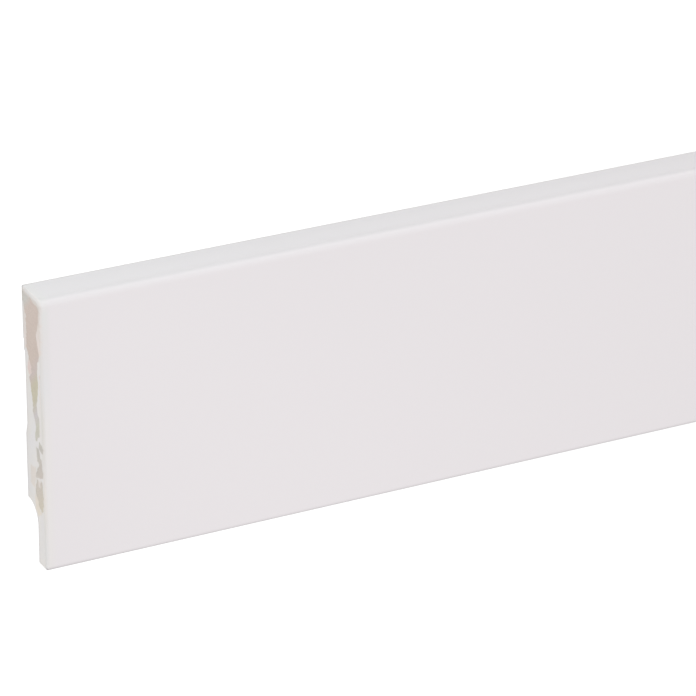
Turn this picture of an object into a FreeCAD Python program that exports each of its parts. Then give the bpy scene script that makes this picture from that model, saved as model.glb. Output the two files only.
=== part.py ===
import FreeCAD, Part
import math
import os
import Sketcher

# A length of lacquered fibreboard skirting: one piece of moulded stock.
# It lies on its back on a level floor. The length runs along X, the moulding's top edge
# faces +Y and its front face looks up, +Z. The origin is under the middle of the board.
# All sizes are in millimetres.

os.makedirs("parts", exist_ok=True)
doc = FreeCAD.newDocument("SkirtingBoard")

# Driving sizes. Heights are measured up the wall, from the board's bottom edge.
SIZES = (
    ("board_length", 2400.0, "cut end to cut end, as sold"),
    ("board_height", 100.0, "bottom edge to top edge"),
    ("board_thickness", 15.0, "back to front face"),
    ("face_arris", 2.6, "radius between the top edge and the front face"),
    ("back_arris", 0.9, "radius between the top edge and the back"),
    ("toe_arris", 0.9, "radius between the bottom edge and the front face"),
    ("foot_arris", 0.8, "radius between the bottom edge and the channel"),
    ("foot_thickness", 6.8, "what stands on the floor in front of the channel"),
    ("channel_height", 21.3, "top of the channel for a cable and the floor's edge"),
    ("cove_radius", 7.0, "round in the channel's inner corner"),
    ("hollow_depth", 1.25, "shallow hollow milled in the back"),
    ("hollow_low", 45.5, "height of the hollow's lower edge"),
    ("hollow_high", 76.5, "height of the hollow's upper edge"),
    ("hollow_ramp", 4.0, "width of the long slope at the hollow's lower edge"),
    ("hollow_step", 0.6, "width of the short slope at the hollow's upper edge"),
)
sheet = doc.addObject("Spreadsheet::Sheet", "Sizes")
for row, (alias, value, meaning) in enumerate(SIZES, start=1):
    sheet.set("A%d" % row, alias)
    sheet.set("B%d" % row, str(value))
    sheet.set("C%d" % row, meaning)
    sheet.setAlias("B%d" % row, alias)
doc.recompute()

# The sketcher's numbers for the ends of a curve and for the point at a sketch's origin.
START, END = range(1, 3)
ORIGIN = (-1, START)

LENGTH_TOLERANCE = 1e-4
VOLUME_TOLERANCE = 1e-6


def size(alias):
    """The present value of one driving size."""
    return float(sheet.get(alias))


def section_sketch(body, name):
    """An empty sketch across the board: x is the height, y the distance from the back."""
    sketch = body.newObject("Sketcher::SketchObject", name)
    plane = next(part for part in body.Origin.OriginFeatures if part.Role == "YZ_Plane")
    sketch.AttachmentSupport = [(plane, "")]
    sketch.MapMode = "FlatFace"
    return sketch


def straight(x_start, y_start, x_end, y_end):
    """A straight stretch of an outline."""
    start = FreeCAD.Vector(x_start, y_start, 0)
    return Part.LineSegment(start, FreeCAD.Vector(x_end, y_end, 0))


def quarter_round(x_centre, y_centre, radius):
    """A quarter circle from straight right of its centre to straight above it."""
    circle = Part.Circle(FreeCAD.Vector(x_centre, y_centre, 0), FreeCAD.Vector(0, 0, 1), radius)
    return Part.ArcOfCircle(circle, 0, math.pi / 2)


def draw_outline(sketch, curves):
    """Adds curves that follow each other round, joined, and smoothly where one is an arc."""
    numbers = [sketch.addGeometry(curve, False) for curve in curves]
    followers = numbers[1:] + numbers[:1]
    for here, there in zip(numbers, followers):
        pair = (sketch.Geometry[here], sketch.Geometry[there])
        smooth = any(isinstance(curve, Part.ArcOfCircle) for curve in pair)
        join = "Tangent" if smooth else "Coincident"
        sketch.addConstraint(Sketcher.Constraint(join, here, END, there, START))
    return numbers


def keep(sketch, kind, *lines):
    """Holds lines Horizontal, which is along the height, or Vertical, through the board."""
    for line in lines:
        sketch.addConstraint(Sketcher.Constraint(kind, line))


def bind(sketch, constraint, name, formula):
    """Adds a dimension to a sketch and ties it to the sizes."""
    index = sketch.addConstraint(constraint)
    sketch.renameConstraint(index, name)
    sketch.setExpression("Constraints." + name, formula)


def place(sketch, kind, line, end, name, formula):
    """Ties one coordinate of a line's end, measured from the section's origin."""
    point = sketch.getPoint(line, end)
    value = point.x if kind == "DistanceX" else point.y
    bind(sketch, Sketcher.Constraint(kind, *ORIGIN, line, end, value), name, formula)


def round_arris(body, name, height, depth, radius_alias):
    """Takes the sharpness off the long edge that stands at one point of the section."""
    base = body.Tip
    edges = []
    for number, edge in enumerate(base.Shape.Edges, start=1):
        box = edge.BoundBox
        along = box.YLength < LENGTH_TOLERANCE and box.ZLength < LENGTH_TOLERANCE
        miss = math.hypot(box.YMin - height, box.ZMin - depth)
        if along and miss < LENGTH_TOLERANCE:
            edges.append("Edge%d" % number)
    if len(edges) != 1:
        raise ValueError("%s: found %d edges, not one" % (name, len(edges)))
    rounding = body.newObject("PartDesign::Fillet", name)
    rounding.Base = (base, edges)
    rounding.setExpression("Radius", "Sizes." + radius_alias)
    doc.recompute()


board = doc.addObject("PartDesign::Body", "Board")
board.Label = "skirting_board"
height = size("board_height")
thickness = size("board_thickness")

# The planed blank: a plain rectangle with its bottom edge at height 0 and its back at 0.
blank_section = section_sketch(board, "BlankSection")
back, top, front, bottom = draw_outline(
    blank_section,
    [
        straight(0, 0, height, 0),
        straight(height, 0, height, thickness),
        straight(height, thickness, 0, thickness),
        straight(0, thickness, 0, 0),
    ],
)
keep(blank_section, "Horizontal", back, front)
keep(blank_section, "Vertical", top, bottom)
blank_section.addConstraint(Sketcher.Constraint("Coincident", back, START, *ORIGIN))
place(blank_section, "DistanceX", front, START, "board_height", "Sizes.board_height")
place(blank_section, "DistanceY", front, START, "board_thickness", "Sizes.board_thickness")

blank = board.newObject("PartDesign::Pad", "Blank")
blank.Profile = blank_section
blank.SideType = "Symmetric"
blank.Type = "Length"
blank.setExpression("Length", "Sizes.board_length")
doc.recompute()

# The channel behind the foot takes the lower back corner away, and its inner corner is a
# quarter round. Its cutter runs out of the board, past the bottom edge and past the back,
# by the cove's radius, so that a deep cove still leaves a clean edge.
cove = size("cove_radius")
channel_top = size("channel_height")
channel_depth = thickness - size("foot_thickness")
channel_section = section_sketch(board, "ChannelSection")
outside, roof, cove_round, foot_back, below = draw_outline(
    channel_section,
    [
        straight(-cove, -cove, channel_top, -cove),
        straight(channel_top, -cove, channel_top, channel_depth - cove),
        quarter_round(channel_top - cove, channel_depth - cove, cove),
        straight(channel_top - cove, channel_depth, -cove, channel_depth),
        straight(-cove, channel_depth, -cove, -cove),
    ],
)
keep(channel_section, "Horizontal", outside, foot_back)
keep(channel_section, "Vertical", roof, below)
bind(channel_section, Sketcher.Constraint("Radius", cove_round, cove), "cove_radius",
     "Sizes.cove_radius")
place(channel_section, "DistanceX", roof, START, "channel_height", "Sizes.channel_height")
place(channel_section, "DistanceY", foot_back, END, "channel_depth",
      "Sizes.board_thickness - Sizes.foot_thickness")
place(channel_section, "DistanceX", outside, START, "past_the_edge", "-Sizes.cove_radius")
place(channel_section, "DistanceY", outside, START, "past_the_back", "-Sizes.cove_radius")

# The hollow in the back lets the board sit flat on an uneven wall: a short step at its
# upper edge, a flat floor and a long slope at its lower edge.
low = size("hollow_low")
high = size("hollow_high")
floor_low = low + size("hollow_ramp")
floor_high = high - size("hollow_step")
hollow_depth = size("hollow_depth")
hollow_section = section_sketch(board, "HollowSection")
mouth, step, hollow_floor, ramp = draw_outline(
    hollow_section,
    [
        straight(low, 0, high, 0),
        straight(high, 0, floor_high, hollow_depth),
        straight(floor_high, hollow_depth, floor_low, hollow_depth),
        straight(floor_low, hollow_depth, low, 0),
    ],
)
keep(hollow_section, "Horizontal", hollow_floor)
for mouth_end in (START, END):
    hollow_section.addConstraint(Sketcher.Constraint("Horizontal", mouth, mouth_end, *ORIGIN))
place(hollow_section, "DistanceX", mouth, START, "hollow_low", "Sizes.hollow_low")
place(hollow_section, "DistanceX", mouth, END, "hollow_high", "Sizes.hollow_high")
place(hollow_section, "DistanceX", step, END, "floor_high",
      "Sizes.hollow_high - Sizes.hollow_step")
place(hollow_section, "DistanceX", hollow_floor, END, "floor_low",
      "Sizes.hollow_low + Sizes.hollow_ramp")
place(hollow_section, "DistanceY", step, END, "hollow_depth", "Sizes.hollow_depth")

# Both are cut right through the board's length, so each must take some of it away.
for name, section in (("Channel", channel_section), ("Hollow", hollow_section)):
    volume_before = board.Shape.Volume
    cut = board.newObject("PartDesign::Pocket", name)
    cut.Profile = section
    cut.SideType = "Symmetric"
    cut.Type = "ThroughAll"
    doc.recompute()
    if board.Shape.Volume > volume_before - VOLUME_TOLERANCE:
        raise ValueError(name + " took nothing away")

# The arrises that a hand or the floor meets. The channel's edge at the back stays as the
# cutter left it.
round_arris(board, "FaceArris", height, thickness, "face_arris")
round_arris(board, "BackArris", height, 0, "back_arris")
round_arris(board, "ToeArris", 0, thickness, "toe_arris")
round_arris(board, "FootArris", 0, channel_depth, "foot_arris")

# The board is moved down its own height by half, so that the origin is under its middle.
board.setExpression("Placement.Base.y", "-Sizes.board_height / 2")
doc.recompute()

for part in doc.Objects:
    if "Invalid" in part.State or "Error" in part.State:
        raise ValueError("%s did not work out: %s" % (part.Name, part.State))
shape = board.Shape
if shape.isNull() or not shape.isValid() or len(shape.Solids) != 1:
    raise ValueError("the board is not one sound solid")
shape.exportStep("parts/" + board.Label + ".step")
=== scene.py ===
"""A length of skirting board: fibreboard moulding in white satin lacquer, lying on its back.

The board is one surface worked out with numpy and swept along X. Its two cut ends show the
raw core where the lacquer has not run over the edge.
"""
import math

import bpy
import numpy as np
from bpy.props import FloatProperty, FloatVectorProperty, PointerProperty
from mathutils import Matrix, Vector


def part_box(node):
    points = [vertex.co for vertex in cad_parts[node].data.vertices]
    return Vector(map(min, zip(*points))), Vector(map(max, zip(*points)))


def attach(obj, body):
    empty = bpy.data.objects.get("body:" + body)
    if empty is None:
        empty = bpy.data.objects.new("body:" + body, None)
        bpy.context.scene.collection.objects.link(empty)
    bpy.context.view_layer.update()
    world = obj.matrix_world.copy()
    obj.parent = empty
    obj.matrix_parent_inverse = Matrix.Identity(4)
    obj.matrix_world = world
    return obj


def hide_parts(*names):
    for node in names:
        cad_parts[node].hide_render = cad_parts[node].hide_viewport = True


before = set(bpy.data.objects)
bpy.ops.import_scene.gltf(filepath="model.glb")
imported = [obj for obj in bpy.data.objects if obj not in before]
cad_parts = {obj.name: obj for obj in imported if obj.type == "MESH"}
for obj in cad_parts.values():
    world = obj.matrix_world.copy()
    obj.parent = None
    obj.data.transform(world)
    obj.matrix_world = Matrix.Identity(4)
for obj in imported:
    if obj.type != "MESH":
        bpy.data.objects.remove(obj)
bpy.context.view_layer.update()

bl_info = {
    "name": "Skirting board length",
    "version": (1, 0, 0),
    "blender": (4, 5, 0),
    "location": "View3D > Sidebar > Skirting",
    "description": "Builds a lacquered fibreboard skirting board and a small studio round it",
    "category": "Add Mesh",
}

NODE = "skirting_board"
BODY = "root"

MM = 0.001
LOW_CORNER, HIGH_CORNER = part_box(NODE)
BOARD_LENGTH = HIGH_CORNER.x - LOW_CORNER.x
BOARD_HEIGHT = HIGH_CORNER.y - LOW_CORNER.y
BOARD_THICKNESS = HIGH_CORNER.z - LOW_CORNER.z

# How finely the section is worked out: up the board where it is straight, and across an end.
# Heights are rounded to a tenth of a micrometre, and two closer than SAME_HEIGHT are one.
LAND_STEP = 0.4 * MM
HEIGHT_DIGITS = 7
SAME_HEIGHT = 0.004 * MM
ACROSS_STEPS = 56
# Steps round each round of the section, and round the arris of a cut end.
FOOT_STEPS = 4
TOE_STEPS = 6
COVE_STEPS = 24
LIP_STEPS = 6
BACK_ARRIS_STEPS = 8
FACE_ARRIS_STEPS = 14
ARRIS_STEPS = 8
# Distances of the plain rings from a cut end, close together where the toe's painted shade changes.
RINGS_BY_END = (8.0 * MM, 16.0 * MM, 24.0 * MM, 34.0 * MM, 50.0 * MM, 200.0 * MM)
# Along the toe the end's arris has this share of the toe's own radius, and at the front of the
# top edge this share of its full radius. Beside the small rounds it changes by RADIUS_SLOPE
# for each millimetre along the edge.
END_SHARE = 0.8
TOP_SHARE = 0.85
RADIUS_SLOPE = 0.4
# The rows across an end rise towards the front at the channel's roof, so that none runs
# along it. The lift is highest at the roof and fades out within a few times its spread.
ROW_LIFT = 1.5 * MM
ROW_LIFT_SPREAD = 6.0 * MM
# A plain ring this far past the end's arris keeps the round's shading off the long faces.
HOLD = 0.4 * MM
# Width of the small step between the ledge and the flat back above it.
LEDGE_STEP = 0.2 * MM
# Edges that turn by more than this stay sharp in the shading.
SHARP_ANGLE = math.radians(35)

# Painted shade darkens the lacquer along sharp edges, within a reach of them. Where it is full, the
# lacquer keeps a share of its brightness. It is full where the toe and the top edge's back meet a
# cut end. Past a reach from there they keep a share of it.
EDGE_SHADE_REACH = 1.1 * MM
EDGE_SHADE_SHARE = 0.8
TOE_SHADE = 0.68
TOE_SHADE_REACH = 24.0 * MM
TOP_BACK_SHADE = 0.6
TOP_BACK_SHADE_REACH = 0.9 * MM
END_BACK_SHADE = 0.4
# The painted shade on the crest of the end's arris, which holds down the light there, where the
# crest lies on the way round from the face, and how far it spreads.
CREST_SHADE = 0.22
CREST_SHARE = 0.35
CREST_SPREAD = 0.2
# Beside a cut end the face's lacquer changes its tone a little between these distances: warmer low
# down and, as painted shade, darker above.
TONE_START = 4.5 * MM
TONE_END = 1.4 * MM
# How far inside a bare patch, in millimetres, the core has sunk to its full depth.
SINK_WIDTH = 0.4

# Where the lacquer has not run over a cut end and the raw core shows. Each patch is given by
# its corners as (height, depth from the front face) in millimetres. The near end has the
# patches that the photograph shows, and the far end has some of the same kind.
NEAR_BARE = (
    # From the rounded top edge down past the hollow's upper edge, then narrow and broken.
    ((94.8, 15.6), (98.2, 15.6), (98.1, 13.2), (97.7, 12.0), (97.55, 10.6), (97.85, 8.8),
     (97.8, 7.2), (97.4, 5.5), (97.1, 3.8), (97.3, 2.4), (96.6, 1.2), (93.0, 1.2),
     (90.5, 1.7), (88.3, 2.5), (87.8, 3.5), (86.0, 3.4), (83.5, 2.8), (81.0, 1.8),
     (79.0, 1.6), (77.5, 2.2), (76.0, 3.2), (72.0, 3.5), (68.0, 3.0), (65.0, 3.45),
     (62.5, 3.95), (60.2, 4.8), (58.8, 4.4), (57.0, 4.2), (56.2, 2.9), (54.6, 2.8),
     (53.2, 2.9), (51.0, 2.7), (49.5, 3.0), (48.0, 4.5), (46.6, 5.3), (46.4, 6.6),
     (48.0, 6.8), (50.0, 6.2), (52.0, 5.8), (53.6, 6.4), (55.0, 7.6), (57.0, 8.2),
     (59.4, 7.8), (61.0, 8.2), (63.0, 8.6), (65.0, 9.3), (66.2, 9.7), (68.3, 10.2),
     (69.2, 9.6), (70.2, 8.2), (72.8, 8.4), (74.6, 10.2), (76.0, 10.5), (77.0, 11.8),
     (78.5, 12.1), (82.0, 12.1), (86.0, 11.9), (90.0, 12.0), (91.5, 12.9), (94.0, 13.6)),
    # Two splinters of lacquer have broken away.
    ((47.3, 3.3), (46.8, 2.6), (46.5, 1.0), (45.5, 0.5), (44.0, 0.6), (43.7, 2.2),
     (44.1, 3.6), (45.5, 3.8)),
    ((44.0, 6.3), (44.2, 5.0), (44.3, 4.1), (43.0, 3.3), (41.2, 3.0), (40.9, 1.8),
     (39.8, 1.5), (38.0, 1.4), (36.3, 1.0), (34.8, 1.1), (34.0, 2.2), (33.6, 3.6),
     (32.6, 5.8), (32.4, 7.1), (33.8, 6.9), (36.0, 6.0), (37.4, 4.6), (38.4, 3.7),
     (39.2, 5.6), (41.5, 5.6), (42.8, 6.2)),
    # Low down, towards the channel: two strips that join below.
    ((33.0, 2.9), (32.8, 1.7), (30.0, 1.4), (27.0, 1.1), (24.0, 1.2), (21.6, 1.7),
     (21.0, 2.8), (21.6, 4.4), (22.6, 5.4), (24.4, 6.0), (25.4, 7.4), (27.0, 7.6),
     (29.4, 7.2), (31.8, 6.6), (32.0, 5.4), (29.8, 5.1), (29.6, 3.5), (31.5, 3.3)),
)
FAR_BARE = (
    ((95.8, 11.0), (96.4, 5.0), (92.0, 2.2), (85.0, 3.1), (76.0, 2.4), (66.0, 4.0),
     (57.0, 3.2), (50.0, 5.0), (58.0, 7.4), (67.0, 8.0), (75.0, 10.1), (84.0, 10.8)),
    ((43.0, 9.4), (42.0, 4.6), (35.0, 3.2), (27.0, 4.0), (23.5, 7.2), (31.0, 10.2)),
)
# Where the lacquer is so thin that the core shows through it.
NEAR_THIN = (
    ((74.6, 10.8), (73.4, 8.2), (70.2, 8.0), (68.8, 10.6), (71.0, 11.8)),
    ((91.8, 13.7), (91.6, 12.4), (78.0, 12.3), (77.4, 13.6)),
    ((97.0, 1.8), (97.0, 0.3), (80.5, 0.5), (78.0, 2.2), (81.5, 2.4), (87.0, 3.6)),
    ((99.0, 15.5), (98.8, 13.2), (98.6, 11.5), (98.6, 8.0), (98.7, 4.5), (98.6, 2.6),
     (98.2, 1.2), (97.6, 0.3), (96.0, 0.3), (96.5, 3.0), (97.0, 8.0), (96.5, 12.5),
     (94.5, 13.0), (94.5, 15.5)),
    ((72.5, 1.6), (72.5, 1.3), (61.0, 1.3), (61.0, 1.6)),
    ((32.3, 5.4), (32.0, 3.2), (29.4, 3.3), (29.6, 5.2)),
    ((25.4, 8.4), (25.4, 5.6), (22.4, 4.8), (20.2, 3.0), (18.4, 5.8), (20.0, 8.2)),
    ((35.0, 11.5), (36.0, 6.8), (32.0, 7.2), (27.6, 8.2), (28.4, 12.0)),
)
FAR_THIN = (
    ((48.0, 10.4), (48.0, 4.0), (44.0, 3.0), (41.0, 9.8)),
)
NEAR_PATCHES = (NEAR_BARE, NEAR_THIN)
FAR_PATCHES = (FAR_BARE, FAR_THIN)
# The distance inside a patch, in millimetres, of a point that is far from all of them.
NO_PATCH = -9.0

# What each point of the mesh carries: its distances inside a bare and a thin patch, how far round
# the end's arris it lies, and how much painted shade darkens it along a sharp edge.
MARKS = ("bare_distance", "thin_distance", "round_the_end", "painted_edge_shade")
BARE, THIN, ROUND, EDGE_SHADE = MARKS

# The board's materials, in the order of its slots.
LACQUER, SAWN_END, PRIMER = range(3)

# Colours up the cut end, each with its share of the board's height. The raw core is beige and
# pinkish, with a grey and an olive zone, and greyer just under the top edge.
CORE_STOPS = (
    (0.17, "ddd2c3"), (0.28, "d9cec6"), (0.38, "d3ccc5"), (0.47, "d9d4c7"), (0.52, "dad1d1"),
    (0.58, "d4cbb7"), (0.64, "d4cab5"), (0.685, "d8c8c3"), (0.74, "dac8be"), (0.94, "dccac1"),
    (0.975, "dad4ce"),
)
# Lacquer that is thin enough for the core to show through: cream low down, pinkish above.
THIN_STOPS = (
    (0.22, "efe2d4"), (0.30, "e9dfd8"), (0.65, "e6d6cb"), (0.715, "e8d2cc"), (0.80, "f0e0d9"),
    (0.98, "e1d7d1"),
)
# Lacquer on the face beside a cut end and where the end's arris starts: a warm white low down, and
# above a duller one that is painted shade, holding down the light on the start of the round.
SHADED_BESIDE_END_STOPS = (
    (0.55, "e0dcdb"), (0.68, "dcdadb"), (0.85, "dcd8d8"), (0.95, "dbdad9"), (0.985, "e0dcdc"),
)
# Lacquer on the end's arris, a warm white with painted highlight and shade: brightest low down and
# at the top edge, dullest in the middle, as the light on the round would make it.
ARRIS_LIGHT_AND_SHADE_STOPS = (
    (0.10, "eae6e5"), (0.19, "ebe5e1"), (0.27, "f1e8e2"), (0.38, "ebe5e2"), (0.55, "e7e1dc"),
    (0.68, "e9e4e3"), (0.82, "ebe4e1"), (0.945, "ece4e1"), (0.975, "e8e0dc"), (0.995, "eee6e5"),
)
# Lacquer that ran over the end, from its bluish patches to its warm ones, by the noise that
# lays it in lumps.
OVERSPILL_STOPS = ((0.30, "ede8e8"), (0.50, "eee8e5"), (0.70, "eee7e2"))

# Dried acrylic lacquer and primer, and the resin in the fibreboard, bend light alike.
FILM_IOR = 1.5
# Real sizes of what shows in the finishes. Wood fibres are finer than FIBRE_SIZE and
# PRIMER_FIBRE_SIZE: they are drawn this coarse so that they show.
CLOUD_SIZE = 60.0 * MM
GUN_STREAK_LENGTH = 400.0 * MM
GUN_STREAK_WIDTH = 3.0 * MM
ORANGE_PEEL_SIZE = 1.6 * MM
ORANGE_PEEL_DEPTH = 0.02 * MM
ZONE_BEND_SIZE = 7.0 * MM
FIBRE_SIZE = 0.5 * MM
SAW_MARK_WIDTH = 1.1 * MM
SAW_MARK_LENGTH = 30.0 * MM
SAW_MARK_TILT = math.radians(9)
SPLINTER_SIZE = 1.4 * MM
LUMP_SIZE = 9.0 * MM
LUMP_DEPTH = 0.08 * MM
ROLLER_STREAK_LENGTH = 160.0 * MM
ROLLER_STREAK_WIDTH = 2.2 * MM
PRIMER_FIBRE_SIZE = 0.8 * MM
PRIMER_FIBRE_DEPTH = 0.04 * MM
# How bright the clouds and the streaks leave the lacquer at their darkest.
CLOUD_SHADE = 0.985
GUN_STREAK_SHADE = 0.99
# The core's colour zones are bent by this share of the board's height, and shift by these
# shares between the back and the face, so that they climb towards the back.
ZONE_BEND = 0.03
ZONE_SHIFT_AT_BACK = 0.03
ZONE_SHIFT_AT_FACE = -0.105
# How ragged the limits of the patches are, in millimetres.
RAGGEDNESS = 1.6

# The photograph's frame, and where the near end's bottom corner on the face lies in it.
PICTURE_SIDE = 696
NEAR_CORNER_PIXEL = (46.419, 571.018)
# The camera's sensor in millimetres, and how far it sees in metres.
SENSOR_WIDTH = 36.0
FARTHEST_SEEN = 200.0

BLACK = (0.0, 0.0, 0.0, 1.0)
WHITE = (1.0, 1.0, 1.0, 1.0)

# The floor reaches this far each way, in metres, and lies a hair below the board.
FLOOR_REACH = 60.0
FLOOR_DROP = 0.2 * MM
# The lamps' places and sizes in metres. A step is along the board, up its height and away
# from the floor. It starts at the middle of the near end, on the floor. The key softbox looks
# at the middle of the stretch that the picture shows, from a distance and at a tilt. The face
# lamp hangs over what it looks at.
SEEN_MIDDLE = 0.12
KEY_ALONG = 0.9
KEY_DISTANCE = 2.0
KEY_TILT = math.radians(62)
KEY_SIZE = (1.1, 0.8)
SIDE_LAMP_STEP = (-0.35, 0.6, 0.08)
SIDE_LAMP_SIZE = (0.5, 0.12)
FACE_LAMP_TARGET_STEP = (0.09, -0.05, 0.0)
FACE_LAMP_HEIGHT = 0.18
FACE_LAMP_SIZE = (0.06, 0.06)


def linear(hex_colour):
    """Turns an sRGB hex colour such as "e7e2e4" into the linear values that shaders take."""
    channels = [int(hex_colour[start:start + 2], 16) / 255 for start in (0, 2, 4)]
    return tuple(c / 12.92 if c <= 0.04045 else ((c + 0.055) / 1.055) ** 2.4 for c in channels)


def length_property(name, description, default):
    """A size in metres that shows in the panel with its unit."""
    return FloatProperty(name=name, description=description, default=default, min=0.0,
                         unit="LENGTH", precision=5)


def colour_property(name, description, hex_colour):
    """A colour of a finish or a lamp, given as sRGB hex."""
    return FloatVectorProperty(name=name, description=description, subtype="COLOR", size=3,
                               default=linear(hex_colour), min=0.0, max=1.0)


def roughness_property(name, description, default):
    """A finish's roughness, from 0 for gloss to 1 for matt."""
    return FloatProperty(name=name, description=description, default=default, min=0.0, max=1.0,
                         subtype="FACTOR")


class SkirtingSection(bpy.types.PropertyGroup):
    """Sizes of the moulded section. Heights are measured up from the board's bottom edge."""

    face_arris: length_property(
        "Face arris", "Radius between the top edge and the front face", 2.6 * MM)
    back_arris: length_property("Back arris", "Radius between the top edge and the back", 0.9 * MM)
    toe_arris: length_property(
        "Toe arris", "Radius between the bottom edge and the front face", 0.9 * MM)
    foot_arris: length_property(
        "Foot arris", "Radius between the bottom edge and the channel", 0.8 * MM)
    foot_thickness: length_property(
        "Foot thickness", "Thickness of what stands on the floor", 6.8 * MM)
    channel_height: length_property(
        "Channel height", "Top of the channel behind the foot", 21.3 * MM)
    cove_radius: length_property("Cove radius", "Round in the channel's inner corner", 7.0 * MM)
    lip_arris: length_property(
        "Lip arris", "Worn radius of the channel's edge at the back", 0.5 * MM)
    hollow_depth: length_property("Hollow depth", "Depth of the hollow in the back", 1.25 * MM)
    hollow_low: length_property("Hollow low edge", "Height of the hollow's lower edge", 45.5 * MM)
    hollow_high: length_property("Hollow high edge", "Height of the hollow's upper edge", 76.5 * MM)
    hollow_ramp: length_property(
        "Hollow ramp", "Width of the slope at the hollow's lower edge", 4.0 * MM)
    hollow_step: length_property(
        "Hollow step", "Width of the slope at the hollow's upper edge", 0.6 * MM)
    ledge_depth: length_property(
        "Ledge depth", "Depth of the narrow ledge that the cutter left above the hollow", 0.45 * MM)
    ledge_high: length_property("Ledge high edge", "Height of the ledge's upper edge", 80.4 * MM)
    foot_lean: length_property(
        "Foot lean", "How much thinner the foot is at the cove than at the floor", 0.2 * MM)
    end_arris: length_property(
        "End arris", "Radius that lacquer and sanding give the cut end's front and top", 1.2 * MM)
    end_top_arris: length_property(
        "End top arris", "Radius of the cut end's top edge, towards the back", 0.36 * MM)
    end_back_arris: length_property(
        "End back arris", "Radius of the cut end's edge at the back", 0.3 * MM)
    film: length_property("Film", "Thickness of the lacquer that ran over the cut end", 0.12 * MM)


class SkirtingFinish(bpy.types.PropertyGroup):
    """Colours and roughness of the lacquer, the primed back and the raw core."""

    lacquer: colour_property("Lacquer", "White satin lacquer on the face", "e1dcde")
    primer: colour_property("Primer", "Thin white primer on the back", "e2dfdb")
    core: colour_property("Core", "Raw fibreboard under the primer", "d9c8bc")
    lacquer_roughness: roughness_property("Lacquer roughness", "Satin", 0.42)
    overspill_roughness: roughness_property(
        "Overspill roughness", "Lacquer that dried on the sawn end", 0.5)
    core_roughness: roughness_property("Core roughness", "Raw and felted", 0.9)
    primer_roughness: roughness_property("Primer roughness", "Matt and thin", 0.7)


class SkirtingStudio(bpy.types.PropertyGroup):
    """The camera's place and the studio's light."""

    azimuth: FloatProperty(
        name="Azimuth", description="Turn of the camera round the standing board",
        default=math.radians(-26.613), subtype="ANGLE")
    elevation: FloatProperty(
        name="Elevation", description="How far the camera looks down on the standing board",
        default=math.radians(25.901), subtype="ANGLE")
    roll: FloatProperty(
        name="Roll", description="Tilt of the picture", default=math.radians(0.368),
        subtype="ANGLE")
    focal_length: FloatProperty(
        name="Focal length", description="Lens, in millimetres", default=211.687)
    distance: length_property("Distance", "From the camera to the plane of the near corner", 1.371)
    dome_strength: FloatProperty(
        name="Dome", description="Brightness of the white surroundings", default=0.955)
    floor_glow: FloatProperty(
        name="Floor glow", description="Light that the floor panel gives straight upwards",
        default=1.38)
    key_power: FloatProperty(
        name="Key softbox", description="Power of the box that shows along the top arris",
        default=8.3, unit="POWER")
    face_lamp_power: FloatProperty(
        name="Face lamp", description="Power of the small lamp over the face, by the near end",
        default=0.012, unit="POWER")
    side_power: FloatProperty(
        name="Side lamp", description="Power of the low lamp beside the near end",
        default=0.85, unit="POWER")
    side_colour: colour_property("Side lamp colour", "Colour of the low lamp", "ddfffb")


def arc_depth(radius, along):
    """How far a quarter round lies inside its corner, at a distance along one side of it.

    It is the radius less the circle's height there, which is the root of the radius squared
    less the square of the way that is left to the centre.
    """
    short = np.clip(radius - along, 0.0, radius)
    return radius - np.sqrt(radius ** 2 - short ** 2)


def quarter_stations(radius, count):
    """Distances from a round's corner along its side: the radius times one less the cosine.

    The angles are evenly spaced, so the round is even too.
    """
    angle = np.linspace(0.0, math.pi / 2, count + 1)
    return radius * (1.0 - np.cos(angle))


def hollow_corners(section):
    """The corners of the hollow and of the ledge above it: heights, and depths from the back."""
    heights = [section.hollow_low, section.hollow_low + section.hollow_ramp,
               section.hollow_high - section.hollow_step, section.hollow_high,
               section.ledge_high, section.ledge_high + LEDGE_STEP]
    depths = [0.0, section.hollow_depth, section.hollow_depth, section.ledge_depth,
              section.ledge_depth, 0.0]
    return heights, depths


def height_stations(section):
    """The heights at which the section is worked out, from the bottom edge to the top edge.

    They are even in angle at each round and at most LAND_STEP apart between them.
    """
    top = BOARD_HEIGHT
    cove_start = section.channel_height - section.cove_radius
    cove_angle = np.linspace(0.0, math.pi / 2, COVE_STEPS + 1)
    marks = np.concatenate([
        quarter_stations(section.foot_arris, FOOT_STEPS),
        quarter_stations(section.toe_arris, TOE_STEPS),
        cove_start + section.cove_radius * np.sin(cove_angle),
        section.channel_height + quarter_stations(section.lip_arris, LIP_STEPS),
        hollow_corners(section)[0],
        top - quarter_stations(section.back_arris, BACK_ARRIS_STEPS),
        top - quarter_stations(section.face_arris, FACE_ARRIS_STEPS),
        np.arange(0.0, top, LAND_STEP),
    ])
    marks = np.unique(np.round(marks, HEIGHT_DIGITS))
    keep = np.concatenate([[True], np.diff(marks) > SAME_HEIGHT])
    marks = marks[keep]
    marks[-1] = top
    return marks


def back_limit(section, height):
    """Distance of the board's back side from its back plane, for each height.

    The foot stands in front of the channel and leans a little, the cove is a quarter circle
    whose centre lies in the channel, and the hollow is a trapezoid with a ledge above it.
    """
    channel_depth = BOARD_THICKNESS - section.foot_thickness
    cove_start = section.channel_height - section.cove_radius
    rise = np.clip(height - cove_start, 0.0, section.cove_radius)
    cove = channel_depth - section.cove_radius + np.sqrt(section.cove_radius ** 2 - rise ** 2)
    lean = section.foot_lean * np.clip(height / cove_start, 0.0, 1.0)
    foot = cove + lean + arc_depth(section.foot_arris, height)
    land = arc_depth(section.lip_arris, height - section.channel_height)
    hollow = np.interp(height, *hollow_corners(section))
    arris = arc_depth(section.back_arris, BOARD_HEIGHT - height)
    return np.where(height <= section.channel_height, foot, land + hollow + arris)


def front_limit(section, height):
    """Distance of the board's front side from its back plane, for each height.

    It is the thickness less what the toe's round and the face's arris take away.
    """
    toe = arc_depth(section.toe_arris, height)
    arris = arc_depth(section.face_arris, BOARD_HEIGHT - height)
    return BOARD_THICKNESS - toe - arris


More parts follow.
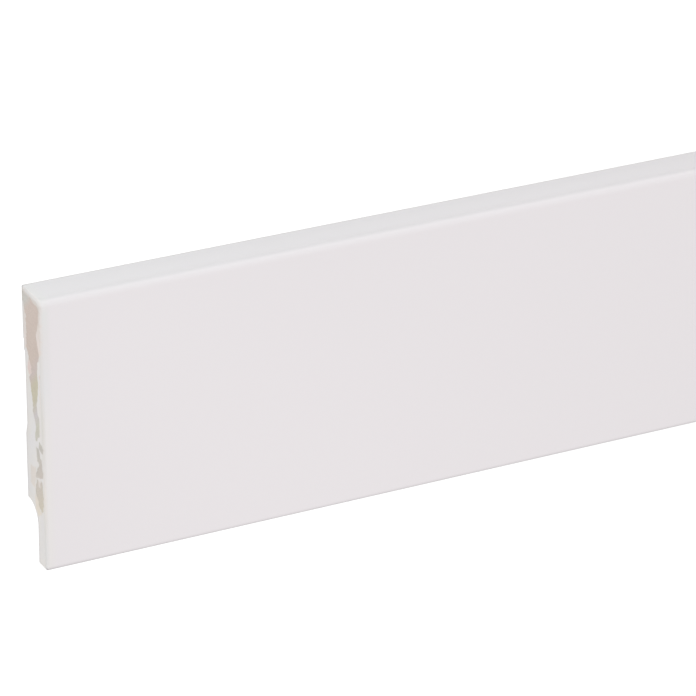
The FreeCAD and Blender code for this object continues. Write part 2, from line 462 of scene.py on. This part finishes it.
def join_ring(bottom, front, top, back):
    """The section's outline, once round, from its four sides, each without its last point."""
    return np.concatenate([bottom[:-1], front[:-1], top[::-1][:-1], back[::-1][:-1]])


def inward(ring):
    """Unit vectors across the outline, into the board.

    Of the two stretches that meet at a point the shorter one counts more, by the square of
    its length, which gives the true direction on a round with uneven points.
    """
    ahead = np.roll(ring, -1, axis=0) - ring
    behind = np.roll(ahead, 1, axis=0)
    squares = [(stretch ** 2).sum(axis=1, keepdims=True) for stretch in (ahead, behind)]
    along = ahead * squares[1] + behind * squares[0]
    across = np.stack([along[:, 1], -along[:, 0]], axis=1)
    return across / np.linalg.norm(across, axis=1, keepdims=True)


class Outline:
    """The section's outline as four sides and as one ring, in height and distance from back."""

    def __init__(self, section):
        height = height_stations(section)
        from_roof = (height - section.channel_height) / ROW_LIFT_SPREAD
        lifted = height + ROW_LIFT * np.exp(-from_roof ** 2)
        self.across = (1 - np.cos(np.linspace(0, math.pi, ACROSS_STEPS + 1))) / 2
        self.back = np.stack([height, back_limit(section, height)], axis=1)
        self.front = np.stack([lifted, front_limit(section, lifted)], axis=1)
        share = self.across[:, None]
        self.bottom = self.back[0] + share * (self.front[0] - self.back[0])
        self.top = self.back[-1] + share * (self.front[-1] - self.back[-1])
        self.ring = join_ring(self.bottom, self.front, self.top, self.back)

    def inset(self, distance):
        """The same outline, moved into the board by a distance, one number or one a point."""
        distance = np.broadcast_to(distance, len(self.ring))
        return self.ring + distance[:, None] * inward(self.ring)

    def end_radius(self, section):
        """The radius of the cut end's edge at each point of the ring.

        It is full along the front and small along the back. It grows evenly across the
        bottom, and with the square of the way across the top, from where it grows on evenly
        round the face's arris. At the toe it is a share of the toe's own radius.
        """
        full, least = section.end_arris, section.end_back_arris
        at_toe = END_SHARE * section.toe_arris
        at_back = section.end_top_arris
        at_front = TOP_SHARE * full
        above_toe = np.maximum(0.0, self.front[:, 0] - section.toe_arris)
        below_top = np.maximum(0.0, BOARD_HEIGHT - section.back_arris - self.back[:, 0])
        drop = np.clip((BOARD_HEIGHT - self.front[:, 0]) / section.face_arris, 0.0, 1.0)
        round_arris = section.face_arris * np.arccos(1.0 - drop)
        growth = 2.0 * (at_front - at_back) / (self.top[-1, 1] - self.top[0, 1])
        front = np.minimum(full, at_toe + RADIUS_SLOPE * above_toe)
        front = np.minimum(front, at_front + growth * round_arris)
        back = np.maximum(least, at_back - RADIUS_SLOPE * below_top)
        bottom = back[0] + self.across * (front[0] - back[0])
        top = back[-1] + self.across ** 2 * (front[-1] - back[-1])
        return join_ring(bottom, front, top, back)

    def end_grid(self, ring):
        """Fills a ring with rows that run straight from its back to its front."""
        across, up = len(self.bottom) - 1, len(self.front) - 1
        front = ring[across:across + up + 1, None]
        back = np.concatenate([ring, ring[:1]])[-up - 1:, None][::-1]
        share = self.across[:, None]
        return back + share * (front - back)


def place_section(points, x):
    """Puts points of the section into the board's frame at a place along its length."""
    x = np.broadcast_to(np.asarray(x, float), points.shape[:-1])
    return np.stack([x, LOW_CORNER.y + points[..., 0], LOW_CORNER.z + points[..., 1]], axis=-1)


def grid_faces(number):
    """Corner numbers of the quads between the points of a grid, from the points' numbers."""
    corners = [number[:-1, :-1], number[1:, :-1], number[1:, 1:], number[:-1, 1:]]
    return np.stack(corners, axis=-1).reshape(-1, 4)


def inside_distance(points, patches):
    """How far inside the nearest patch each point lies, in the points' unit: less than 0 outside.

    The distance is the one to the nearest side of the patch. A point is inside when a line
    from it, towards growing depth, crosses an odd number of sides.
    """
    best = np.full(len(points), NO_PATCH)
    for patch in patches:
        start = np.asarray(patch, float)
        side = np.roll(start, -1, axis=0) - start
        offset = points[:, None] - start
        share = np.clip((offset * side).sum(-1) / (side ** 2).sum(-1), 0.0, 1.0)
        gap = np.linalg.norm(offset - share[..., None] * side, axis=-1).min(axis=1)
        rise = np.where(side[:, 0] == 0.0, 1.0, side[:, 0])
        spans = (offset[..., 0] < 0.0) != (offset[..., 0] < side[:, 0])
        crosses = spans & (offset[..., 0] / rise * side[:, 1] > offset[..., 1])
        inside = crosses.sum(axis=1) % 2 == 1
        best = np.maximum(best, np.where(inside, gap, -gap))
    return best


def painted_edge_shade(spots, from_end):
    """How much painted shade darkens the lacquer, from 0 to 1, at points of the section.

    It stays nearly full close to the toe and to the back of the top edge, then falls off
    fast. Along both it falls off with the distance from a cut end.
    """
    toe = np.hypot(spots[:, 0], spots[:, 1] - BOARD_THICKNESS)
    back = np.hypot(spots[:, 0] - BOARD_HEIGHT, spots[:, 1])
    toe_near = math.exp(-(from_end / TOE_SHADE_REACH) ** 2)
    back_near = math.exp(-(from_end / TOP_BACK_SHADE_REACH) ** 2)
    toe_shade = TOE_SHADE + (1.0 - TOE_SHADE) * toe_near
    back_shade = TOP_BACK_SHADE + (1.0 - TOP_BACK_SHADE) * back_near
    return (toe_shade * np.exp(-(toe / EDGE_SHADE_REACH) ** 4)
            + back_shade * np.exp(-(back / EDGE_SHADE_REACH) ** 4))


def end_marks(section, spots, round_share, patches):
    """The marks of points on a cut end, given as height and distance from the back.

    Painted shade darkens the lacquer along the end's back and, below the top edge, on the arris's
    crest.
    """
    from_front = np.stack([spots[:, 0], BOARD_THICKNESS - spots[:, 1]], axis=1) / MM
    bare, thin = (inside_distance(from_front, kind) for kind in patches)
    to_back = spots[:, 1] - back_limit(section, spots[:, 0])
    end_back = END_BACK_SHADE * np.exp(-(to_back / EDGE_SHADE_REACH) ** 4)
    below_top = np.clip((BOARD_HEIGHT - spots[:, 0]) / section.face_arris, 0.0, 1.0)
    from_crest = (round_share - CREST_SHARE) / CREST_SPREAD
    crest = CREST_SHADE * below_top * np.exp(-from_crest ** 2)
    # Painted shade along the end's back edge, and on the crest of its arris.
    painted_shade = np.minimum(1.0, painted_edge_shade(spots, 0.0) + end_back + crest)
    return np.stack([bare, thin, round_share, painted_shade], axis=1)


def core_setback(bare, film):
    """How far the core lies behind the lacquer: a smooth step, as deep as the lacquer is thick."""
    share = np.clip(bare / SINK_WIDTH, 0.0, 1.0)
    return film * share ** 2 * (3.0 - 2.0 * share)


def long_sides(section, outline, radius):
    """Sweeps the section along X and rounds it over at both ends.

    Ring after ring, from the low end to the high end, has the same points round the section.
    The rings at each end draw in along a quarter circle of the end's arris. Gives the points
    and their marks, each as a list with one array a ring.
    """
    half = BOARD_LENGTH / 2
    count = len(radius)
    turn = np.linspace(0.0, math.pi / 2, ARRIS_STEPS + 1)
    arris = [(outline.inset(radius * (1 - math.sin(angle))), radius * (1 - math.cos(angle)),
              np.full(count, 1 - angle / turn[-1])) for angle in turn]
    near = np.array([section.end_arris + HOLD, *RINGS_BY_END, half])
    far = near[-2::-1]
    no_patch = np.full(count, NO_PATCH)

    points, marks = [], []
    for ring, set_back, share in arris:
        points.append(place_section(ring, set_back - half))
        marks.append(end_marks(section, ring, share, NEAR_PATCHES))
    for place, from_end in zip([*(near - half), *(half - far)], [*near, *far]):
        points.append(place_section(outline.ring, place))
        # Painted shade along the sharp edges, strongest near the cut ends.
        painted_shade = painted_edge_shade(outline.ring, from_end)
        marks.append(np.stack([no_patch, no_patch, np.zeros(count), painted_shade], axis=1))
    for ring, set_back, share in arris[::-1]:
        points.append(place_section(ring, half - set_back))
        marks.append(end_marks(section, ring, share, FAR_PATCHES))
    return points, marks


def side_materials(outline, rings):
    """The material of each quad between the rings: lacquer or primer, and sawn on the arrises."""
    count = len(outline.ring)
    on_back = np.arange(count) >= count - (len(outline.back) - 1)
    on_arris = np.ones(rings - 1, bool)
    on_arris[ARRIS_STEPS:-ARRIS_STEPS] = False
    long_side = np.where(on_back, PRIMER, LACQUER)
    return np.where(on_arris[:, None], SAWN_END, long_side).reshape(-1)


def end_numbers(rows, columns, first_border, first_inner):
    """The numbers of a cut end's points: a ring's round its border, and new ones inside."""
    cell = np.arange(rows * columns).reshape(rows, columns)
    border = np.concatenate([cell[0, :-1], cell[:-1, -1], cell[-1, :0:-1], cell[:0:-1, 0]])
    inner = cell[1:-1, 1:-1].reshape(-1)
    number = np.zeros(rows * columns, int)
    number[border] = first_border + np.arange(len(border))
    number[inner] = first_inner + np.arange(len(inner))
    return number.reshape(rows, columns)


def board_mesh(section):
    """The whole board: its long sides, closed by a grid at each cut end.

    Gives the points, the quads, each quad's material and each point's marks.
    """
    outline = Outline(section)
    radius = outline.end_radius(section)
    points, marks = long_sides(section, outline, radius)
    rings, count = len(points), len(radius)
    number = np.arange(rings * count).reshape(rings, count)
    faces = [grid_faces(np.concatenate([number, number[:, :1]], axis=1))]
    materials = [side_materials(outline, rings)]

    grid = outline.end_grid(outline.inset(radius))
    spots = grid[1:-1, 1:-1].reshape(-1, 2)
    first_inner = rings * count
    for side, border_ring, patches in ((-1, 0, NEAR_PATCHES), (1, rings - 1, FAR_PATCHES)):
        number = end_numbers(*grid.shape[:2], border_ring * count, first_inner)
        first_inner += len(spots)
        end = end_marks(section, spots, np.ones(len(spots)), patches)
        setback = core_setback(end[:, 0], section.film)
        points.append(place_section(spots, side * (BOARD_LENGTH / 2 - setback)))
        marks.append(end)
        quads = grid_faces(number.T)
        faces.append(quads if side < 0 else quads[:, ::-1])
        materials.append(np.full(len(quads), SAWN_END))
    return tuple(np.concatenate(part) for part in (points, faces, materials, marks))


def mesh_object(name, points, faces):
    """A mesh object at the origin from arrays of points and quads, shaded smooth."""
    mesh = bpy.data.meshes.new(name)
    mesh.from_pydata(points, [], faces)
    mesh.validate()
    mesh.shade_smooth()
    made = bpy.data.objects.new(name, mesh)
    bpy.context.scene.collection.objects.link(made)
    return made


def add_node(tree, kind, inputs=None, stops=(), **settings):
    """Adds one shader node with its settings, and gives a colour ramp its stops.

    Each named input gets a value or a link to a socket, or to the first output of a node. A
    stop is a position and an sRGB hex colour.
    """
    made = tree.nodes.new("ShaderNode" + kind)
    for name, value in settings.items():
        setattr(made, name, value)
    for key, value in (inputs or {}).items():
        if isinstance(value, bpy.types.Node):
            value = next(socket for socket in value.outputs if socket.enabled)
        if isinstance(value, bpy.types.NodeSocket):
            tree.links.new(value, made.inputs[key])
        else:
            made.inputs[key].default_value = value
    for number, (position, hex_colour) in enumerate(stops):
        elements = made.color_ramp.elements
        element = elements[number] if number < len(elements) else elements.new(position)
        element.position = position
        element.color = opaque(linear(hex_colour))
    return made


def new_material(name):
    """An empty node material and its tree."""
    material = bpy.data.materials.new(name)
    material.use_nodes = True
    tree = material.node_tree
    tree.nodes.clear()
    return material, tree


def opaque(colour):
    """A colour with the alpha that a colour socket wants."""
    return (*colour, 1.0)


def darker(colour, share):
    """A colour at a share of its brightness, with the alpha that a colour socket wants."""
    return opaque([channel * share for channel in colour])


def height_share(tree, where):
    """The share of the board's height at which a point lies, from 0 to 1."""
    place = add_node(tree, "SeparateXYZ", {"Vector": where})
    return add_node(tree, "MapRange", {"Value": place.outputs["Y"], "From Min": LOW_CORNER.y,
                                       "From Max": HIGH_CORNER.y})


def with_painted_edge_shade(tree, colour, finish):
    """A lacquer's colour, darkened by painted shade along sharp edges."""
    painted_shade = add_node(tree, "Attribute", attribute_name=EDGE_SHADE)
    return add_node(tree, "Mix", {"Factor": painted_shade.outputs["Fac"], "A": colour,
                                  "B": darker(finish.lacquer, EDGE_SHADE_SHARE)}, data_type="RGBA")


def satin_lacquer(finish):
    """White satin acrylic lacquer, sprayed on a moulding that runs along under the guns.

    The eye gets a nearly even white with a soft sheen. There is a faint cloud in its tone, faint
    streaks along the board and a shallow orange peel. Beside a cut end the tone turns a little with
    the height, warm low down and, as painted shade, duller above. Painted shade also darkens it
    along sharp edges.
    """
    material, tree = new_material("satin_white_lacquer")
    where = add_node(tree, "TexCoord").outputs["Object"]
    cloud = add_node(tree, "TexNoise", {"Vector": where, "Scale": 1 / CLOUD_SIZE, "Detail": 2.0})
    tone = add_node(tree, "Mix",
                    {"Factor": cloud, "A": opaque(finish.lacquer),
                     "B": darker(finish.lacquer, CLOUD_SHADE)}, data_type="RGBA")
    along = add_node(tree, "Mapping",
                     {"Vector": where,
                      "Scale": (1 / GUN_STREAK_LENGTH, 1 / GUN_STREAK_WIDTH, 1 / GUN_STREAK_WIDTH)})
    streak = add_node(tree, "TexNoise", {"Vector": along, "Scale": 1.0, "Detail": 2.0})
    colour = add_node(tree, "Mix",
                      {"Factor": streak, "A": tone, "B": darker(finish.lacquer, GUN_STREAK_SHADE)},
                      data_type="RGBA")
    place = add_node(tree, "SeparateXYZ", {"Vector": where})
    from_middle = add_node(tree, "Math", {0: place.outputs["X"]}, operation="ABSOLUTE")
    at_end = add_node(tree, "MapRange",
                      {"Value": from_middle, "From Min": BOARD_LENGTH / 2 - TONE_START,
                       "From Max": BOARD_LENGTH / 2 - TONE_END}, interpolation_type="SMOOTHSTEP")
    # Beside a cut end: warm low down, and darker above as painted shade.
    shaded_beside_end = add_node(tree, "ValToRGB", {"Fac": height_share(tree, where)}, SHADED_BESIDE_END_STOPS)
    toned = add_node(tree, "Mix", {"Factor": at_end, "A": colour, "B": shaded_beside_end},
                     data_type="RGBA")
    peel = add_node(tree, "TexNoise",
                    {"Vector": where, "Scale": 1 / ORANGE_PEEL_SIZE, "Detail": 1.0})
    bump = add_node(tree, "Bump", {"Height": peel, "Strength": 0.25, "Distance": ORANGE_PEEL_DEPTH})
    shader = add_node(tree, "BsdfPrincipled",
                      {"Base Color": with_painted_edge_shade(tree, toned, finish),
                       "Roughness": finish.lacquer_roughness, "IOR": FILM_IOR, "Normal": bump})
    add_node(tree, "OutputMaterial", {"Surface": shader})
    return material


def raw_core(tree, where, height):
    """Raw fibreboard's colour up the end, and its shade: fine fibres and the saw's faint marks.

    The colour zones are bent by noise and climb towards the back.
    """
    place = add_node(tree, "SeparateXYZ", {"Vector": where})
    bend = add_node(tree, "TexNoise", {"Vector": where, "Scale": 1 / ZONE_BEND_SIZE, "Detail": 2.0})
    bent = add_node(tree, "Math", {0: bend, 1: ZONE_BEND, 2: height}, operation="MULTIPLY_ADD")
    climb = add_node(tree, "MapRange",
                     {"Value": place.outputs["Z"], "From Min": LOW_CORNER.z,
                      "From Max": HIGH_CORNER.z, "To Min": ZONE_SHIFT_AT_BACK,
                      "To Max": ZONE_SHIFT_AT_FACE})
    zone = add_node(tree, "Math", {0: bent, 1: climb}, operation="ADD")
    colour = add_node(tree, "ValToRGB", {"Fac": zone}, CORE_STOPS)

    fibre = add_node(tree, "TexNoise",
                     {"Vector": where, "Scale": 1 / FIBRE_SIZE, "Detail": 4.0, "Roughness": 0.7})
    fleck = add_node(tree, "MapRange",
                     {"Value": fibre, "From Min": 0.35, "From Max": 0.65, "To Min": 0.94,
                      "To Max": 1.05})
    saw_way = add_node(tree, "Mapping",
                       {"Vector": where, "Scale": (1.0, 1 / SAW_MARK_WIDTH, 1 / SAW_MARK_LENGTH),
                        "Rotation": (SAW_MARK_TILT, 0.0, 0.0)})
    saw = add_node(tree, "TexNoise", {"Vector": saw_way, "Scale": 1.0, "Detail": 1.0})
    mark = add_node(tree, "MapRange",
                    {"Value": saw, "From Min": 0.3, "From Max": 0.7, "To Min": 0.985,
                     "To Max": 1.01})
    shade = add_node(tree, "Math", {0: fleck, 1: mark}, operation="MULTIPLY")
    raw = add_node(tree, "VectorMath", {0: colour, "Scale": shade}, operation="SCALE")
    return raw, shade


def patch_shares(tree, where):
    """How bare the core lies, how much of it shows at the film's edge, and how thin the film is.

    Each goes by a point's distance inside a patch, in millimetres. Noise makes the limits
    ragged, and those of the thin patches are softer.
    """
    ragged = add_node(tree, "TexNoise",
                      {"Vector": where, "Scale": 1 / SPLINTER_SIZE, "Detail": 4.0})
    centred = add_node(tree, "Math", {0: ragged, 1: 0.5}, operation="SUBTRACT")
    limits = []
    for name in (BARE, THIN):
        inside = add_node(tree, "Attribute", attribute_name=name)
        limit = add_node(tree, "Math", {0: centred, 1: RAGGEDNESS, 2: inside.outputs["Fac"]},
                         operation="MULTIPLY_ADD")
        limits.append(limit)
    bare_limit, thin_limit = limits
    uncovered = add_node(tree, "MapRange",
                         {"Value": bare_limit, "From Min": -0.25, "From Max": 0.2},
                         interpolation_type="SMOOTHSTEP")
    film_edge = add_node(tree, "MapRange",
                         {"Value": bare_limit, "From Min": -0.7, "From Max": 0.0, "To Max": 0.15},
                         interpolation_type="SMOOTHSTEP")
    core_share = add_node(tree, "Math", {0: uncovered, 1: film_edge}, operation="MAXIMUM")
    thinned = add_node(tree, "MapRange", {"Value": thin_limit, "From Min": -0.5, "From Max": 0.6},
                       interpolation_type="SMOOTHSTEP")
    return uncovered, core_share, thinned


def end_lacquer(tree, height, lumps, thinned, finish):
    """The lacquer's colour, from the face over the end's arris to the end.

    It starts as the face's beside the end, with its painted shade, takes the arris's colours on the
    round, which hold painted highlight and shade, and then those of the lumps on the flat. It thins
    out in patches and painted shade darkens it at sharp edges. Gives also how far the arris has
    taken over from the face.
    """
    turn = add_node(tree, "Attribute", attribute_name=ROUND).outputs["Fac"]
    on_arris = add_node(tree, "MapRange", {"Value": turn, "From Min": 0.05, "From Max": 0.45},
                        interpolation_type="SMOOTHSTEP")
    on_end = add_node(tree, "MapRange", {"Value": turn, "From Min": 0.7, "From Max": 1.0},
                      interpolation_type="SMOOTHSTEP")
    shaded_beside_end = add_node(tree, "ValToRGB", {"Fac": height}, SHADED_BESIDE_END_STOPS)
    # The arris's colours are painted highlight and shade along the round.
    arris = add_node(tree, "ValToRGB", {"Fac": height}, ARRIS_LIGHT_AND_SHADE_STOPS)
    lump = add_node(tree, "ValToRGB", {"Fac": lumps}, OVERSPILL_STOPS)
    thin = add_node(tree, "ValToRGB", {"Fac": height}, THIN_STOPS)
    rounded = add_node(tree, "Mix", {"Factor": on_arris, "A": shaded_beside_end, "B": arris},
                       data_type="RGBA")
    covered = add_node(tree, "Mix", {"Factor": on_end, "A": rounded, "B": lump}, data_type="RGBA")
    tinted = add_node(tree, "Mix", {"Factor": thinned, "A": covered, "B": thin}, data_type="RGBA")
    return with_painted_edge_shade(tree, tinted, finish), on_arris


def sawn_end(finish):
    """A sawn end of fibreboard, partly covered by lacquer that ran over its edge.

    The raw core is matt and felted. The lacquer on it is lumpy, and ragged and thin where it
    ends.
    """
    material, tree = new_material("sawn_fibreboard_end")
    where = add_node(tree, "TexCoord").outputs["Object"]
    height = height_share(tree, where)
    lumps = add_node(tree, "TexNoise", {"Vector": where, "Scale": 1 / LUMP_SIZE, "Detail": 3.0})
    raw, shade = raw_core(tree, where, height)
    uncovered, core_share, thinned = patch_shares(tree, where)
    lacquer, on_arris = end_lacquer(tree, height, lumps, thinned, finish)
    colour = add_node(tree, "Mix", {"Factor": core_share, "A": lacquer, "B": raw}, data_type="RGBA")
    gloss = add_node(tree, "MapRange",
                     {"Value": on_arris, "To Min": finish.lacquer_roughness,
                      "To Max": finish.overspill_roughness})
    roughness = add_node(tree, "MapRange",
                         {"Value": uncovered, "To Min": gloss, "To Max": finish.core_roughness})
    relief = add_node(tree, "Mix", {"Factor": uncovered, "A": lumps, "B": shade}, data_type="FLOAT")
    bump = add_node(tree, "Bump", {"Height": relief, "Strength": on_arris, "Distance": LUMP_DEPTH})
    shader = add_node(tree, "BsdfPrincipled",
                      {"Base Color": colour, "Roughness": roughness, "IOR": FILM_IOR,
                       "Normal": bump})
    add_node(tree, "OutputMaterial", {"Surface": shader})
    return material


def primed_back(finish):
    """Thin white primer, rolled on the back: the fibreboard shows through it in long streaks."""
    material, tree = new_material("rolled_primer")
    where = add_node(tree, "TexCoord").outputs["Object"]
    along = add_node(tree, "Mapping",
                     {"Vector": where, "Scale": (1 / ROLLER_STREAK_LENGTH, 1 / ROLLER_STREAK_WIDTH,
                                                 1 / ROLLER_STREAK_WIDTH)})
    streak = add_node(tree, "TexNoise", {"Vector": along, "Scale": 1.0, "Detail": 4.0})
    worn = add_node(tree, "MapRange",
                    {"Value": streak, "From Min": 0.5, "From Max": 0.72, "To Max": 0.3},
                    interpolation_type="SMOOTHSTEP")
    fibre = add_node(tree, "TexNoise",
                     {"Vector": where, "Scale": 1 / PRIMER_FIBRE_SIZE, "Detail": 3.0})
    colour = add_node(tree, "Mix",
                      {"Factor": worn, "A": opaque(finish.primer), "B": opaque(finish.core)},
                      data_type="RGBA")
    fleck = add_node(tree, "MapRange",
                     {"Value": fibre, "From Min": 0.3, "From Max": 0.7, "To Min": 0.97,
                      "To Max": 1.02})
    tone = add_node(tree, "VectorMath", {0: colour, "Scale": fleck}, operation="SCALE")
    bump = add_node(tree, "Bump",
                    {"Height": fibre, "Strength": 0.4, "Distance": PRIMER_FIBRE_DEPTH})
    shader = add_node(tree, "BsdfPrincipled",
                      {"Base Color": tone, "Roughness": finish.primer_roughness, "IOR": FILM_IOR,
                       "Normal": bump})
    add_node(tree, "OutputMaterial", {"Surface": shader})
    return material


class SKIRTING_OT_board(bpy.types.Operator):
    """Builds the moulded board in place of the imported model's plain one"""

    bl_idname = "skirting.board"
    bl_label = "Skirting board"

    def execute(self, context):
        section = context.scene.skirting_section
        finish = context.scene.skirting_finish
        points, faces, materials, marks = board_mesh(section)
        board = mesh_object("moulded_board", points, faces)
        board.data.set_sharp_from_angle(angle=SHARP_ANGLE)
        for material in (satin_lacquer(finish), sawn_end(finish), primed_back(finish)):
            board.data.materials.append(material)
        board.data.polygons.foreach_set("material_index", materials)
        for name, values in zip(MARKS, marks.T):
            attribute = board.data.attributes.new(name, "FLOAT", "POINT")
            attribute.data.foreach_set("value", values.astype(np.float32))
        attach(board, BODY)
        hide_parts(NODE)
        return {"FINISHED"}


def add_softbox(name, power, place, target, size):
    """A soft rectangular lamp that looks from its place at a target."""
    lamp = bpy.data.lights.new(name, "AREA")
    lamp.shape = "RECTANGLE"
    lamp.size, lamp.size_y = size
    lamp.energy = power
    made = bpy.data.objects.new(name, lamp)
    made.visible_camera = False
    turn = (place - target).to_track_quat("Z", "Y")
    made.matrix_world = Matrix.Translation(place) @ turn.to_matrix().to_4x4()
    bpy.context.scene.collection.objects.link(made)
    return made


def standing_axes(azimuth, elevation, roll):
    """The camera's right, up and back, for a board that stands on its bottom edge.

    X is along the board, Y is into the wall and Z is up.
    """
    back = Vector((math.sin(azimuth) * math.cos(elevation),
                   -math.cos(azimuth) * math.cos(elevation),
                   math.sin(elevation)))
    level = Vector((math.cos(azimuth), math.sin(azimuth), 0.0))
    upright = back.cross(level)
    right = level * math.cos(roll) + upright * math.sin(roll)
    up = upright * math.cos(roll) - level * math.sin(roll)
    return right, up, back


def lay_down(vector):
    """Turns a direction with the board as it is laid from its bottom edge onto its back."""
    return Vector((vector.x, vector.z, -vector.y))


def add_camera(studio):
    """Looks down on the lying board as the photograph looks at the standing one.

    The near end's bottom corner on the face is put where the photograph has it.
    """
    right, up, back = (lay_down(v) for v in
                       standing_axes(studio.azimuth, studio.elevation, studio.roll))
    centre = (PICTURE_SIDE - 1) / 2
    per_pixel = studio.distance * SENSOR_WIDTH / (studio.focal_length * PICTURE_SIDE)
    corner = Vector((LOW_CORNER.x, LOW_CORNER.y, HIGH_CORNER.z))
    aside = (NEAR_CORNER_PIXEL[0] - centre) * per_pixel
    above = (centre - NEAR_CORNER_PIXEL[1]) * per_pixel
    place = corner - right * aside - up * above + back * studio.distance
    lens = bpy.data.cameras.new("photo_camera")
    lens.lens = studio.focal_length
    lens.sensor_width = SENSOR_WIDTH
    lens.clip_end = FARTHEST_SEEN
    camera = bpy.data.objects.new("photo_camera", lens)
    axes = Matrix((right, up, back)).transposed()
    camera.matrix_world = Matrix.Translation(place) @ axes.to_4x4()
    bpy.context.scene.collection.objects.link(camera)
    bpy.context.scene.camera = camera


def add_floor(studio):
    """A wide light panel that the board lies on. It glows most straight upwards."""
    corners = [(-1, -1), (1, -1), (1, 1), (-1, 1)]
    points = [(FLOOR_REACH * x, FLOOR_REACH * y, -FLOOR_DROP) for x, y in corners]
    floor = mesh_object("studio_floor", points, [(0, 1, 2, 3)])
    material, tree = new_material("light_panel_floor")
    facing = add_node(tree, "LayerWeight", {"Blend": 0.5})
    upright = add_node(tree, "Math", {0: 1.0, 1: facing.outputs["Facing"]}, operation="SUBTRACT")
    glow = add_node(tree, "Math", {0: upright, 1: studio.floor_glow}, operation="MULTIPLY")
    shader = add_node(tree, "BsdfPrincipled",
                      {"Base Color": BLACK, "Specular IOR Level": 0.0, "Emission Color": WHITE,
                       "Emission Strength": glow})
    add_node(tree, "OutputMaterial", {"Surface": shader})
    floor.data.materials.append(material)


def light_dome(studio):
    """Even white surroundings."""
    world = bpy.data.worlds.new("white_dome")
    world.use_nodes = True
    tree = world.node_tree
    tree.nodes.clear()
    glow = add_node(tree, "Background", {"Color": WHITE, "Strength": studio.dome_strength})
    add_node(tree, "OutputWorld", {"Surface": glow})
    bpy.context.scene.world = world


class SKIRTING_OT_studio(bpy.types.Operator):
    """Sets up the floor, the soft light and the camera"""

    bl_idname = "skirting.studio"
    bl_label = "Studio"

    def execute(self, context):
        studio = context.scene.skirting_studio
        light_dome(studio)
        add_floor(studio)
        near = Vector((LOW_CORNER.x, 0.0, 0.0))
        seen = near + Vector((SEEN_MIDDLE, 0.0, 0.0))
        key_place = seen + Vector((KEY_ALONG, KEY_DISTANCE * math.sin(KEY_TILT),
                                   KEY_DISTANCE * math.cos(KEY_TILT)))
        add_softbox("key_softbox", studio.key_power, key_place, seen, KEY_SIZE)
        side_place = near + Vector(SIDE_LAMP_STEP)
        side = add_softbox("side_lamp", studio.side_power, side_place, near, SIDE_LAMP_SIZE)
        side.data.color = studio.side_colour
        lit = near + Vector(FACE_LAMP_TARGET_STEP)
        lamp_place = lit + Vector((0.0, 0.0, FACE_LAMP_HEIGHT))
        add_softbox("face_lamp", studio.face_lamp_power, lamp_place, lit, FACE_LAMP_SIZE)
        add_camera(studio)
        context.scene.view_settings.view_transform = "Standard"
        return {"FINISHED"}


class SKIRTING_PT_panel(bpy.types.Panel):
    """Lists the board's sizes and finishes and the steps that build it"""

    bl_label = "Skirting board"
    bl_space_type = "VIEW_3D"
    bl_region_type = "UI"
    bl_category = "Skirting"

    def draw(self, context):
        scene = context.scene
        for group in (scene.skirting_section, scene.skirting_finish, scene.skirting_studio):
            box = self.layout.box()
            for name in group.bl_rna.properties.keys():
                if name not in ("rna_type", "name"):
                    box.prop(group, name)
        self.layout.operator(SKIRTING_OT_board.bl_idname)
        self.layout.operator(SKIRTING_OT_studio.bl_idname)


CLASSES = (SkirtingSection, SkirtingFinish, SkirtingStudio,
           SKIRTING_OT_board, SKIRTING_OT_studio, SKIRTING_PT_panel)


def register():
    """Makes the property groups, operators and panel known, and gives the scene its settings."""
    for cls in CLASSES:
        bpy.utils.register_class(cls)
    bpy.types.Scene.skirting_section = PointerProperty(type=SkirtingSection)
    bpy.types.Scene.skirting_finish = PointerProperty(type=SkirtingFinish)
    bpy.types.Scene.skirting_studio = PointerProperty(type=SkirtingStudio)


def unregister():
    """Takes back all that register did."""
    del bpy.types.Scene.skirting_studio
    del bpy.types.Scene.skirting_finish
    del bpy.types.Scene.skirting_section
    for cls in reversed(CLASSES):
        bpy.utils.unregister_class(cls)


def main():
    """Builds the board and the studio."""
    register()
    bpy.ops.skirting.board()
    bpy.ops.skirting.studio()


if __name__ == "__main__":
    main()
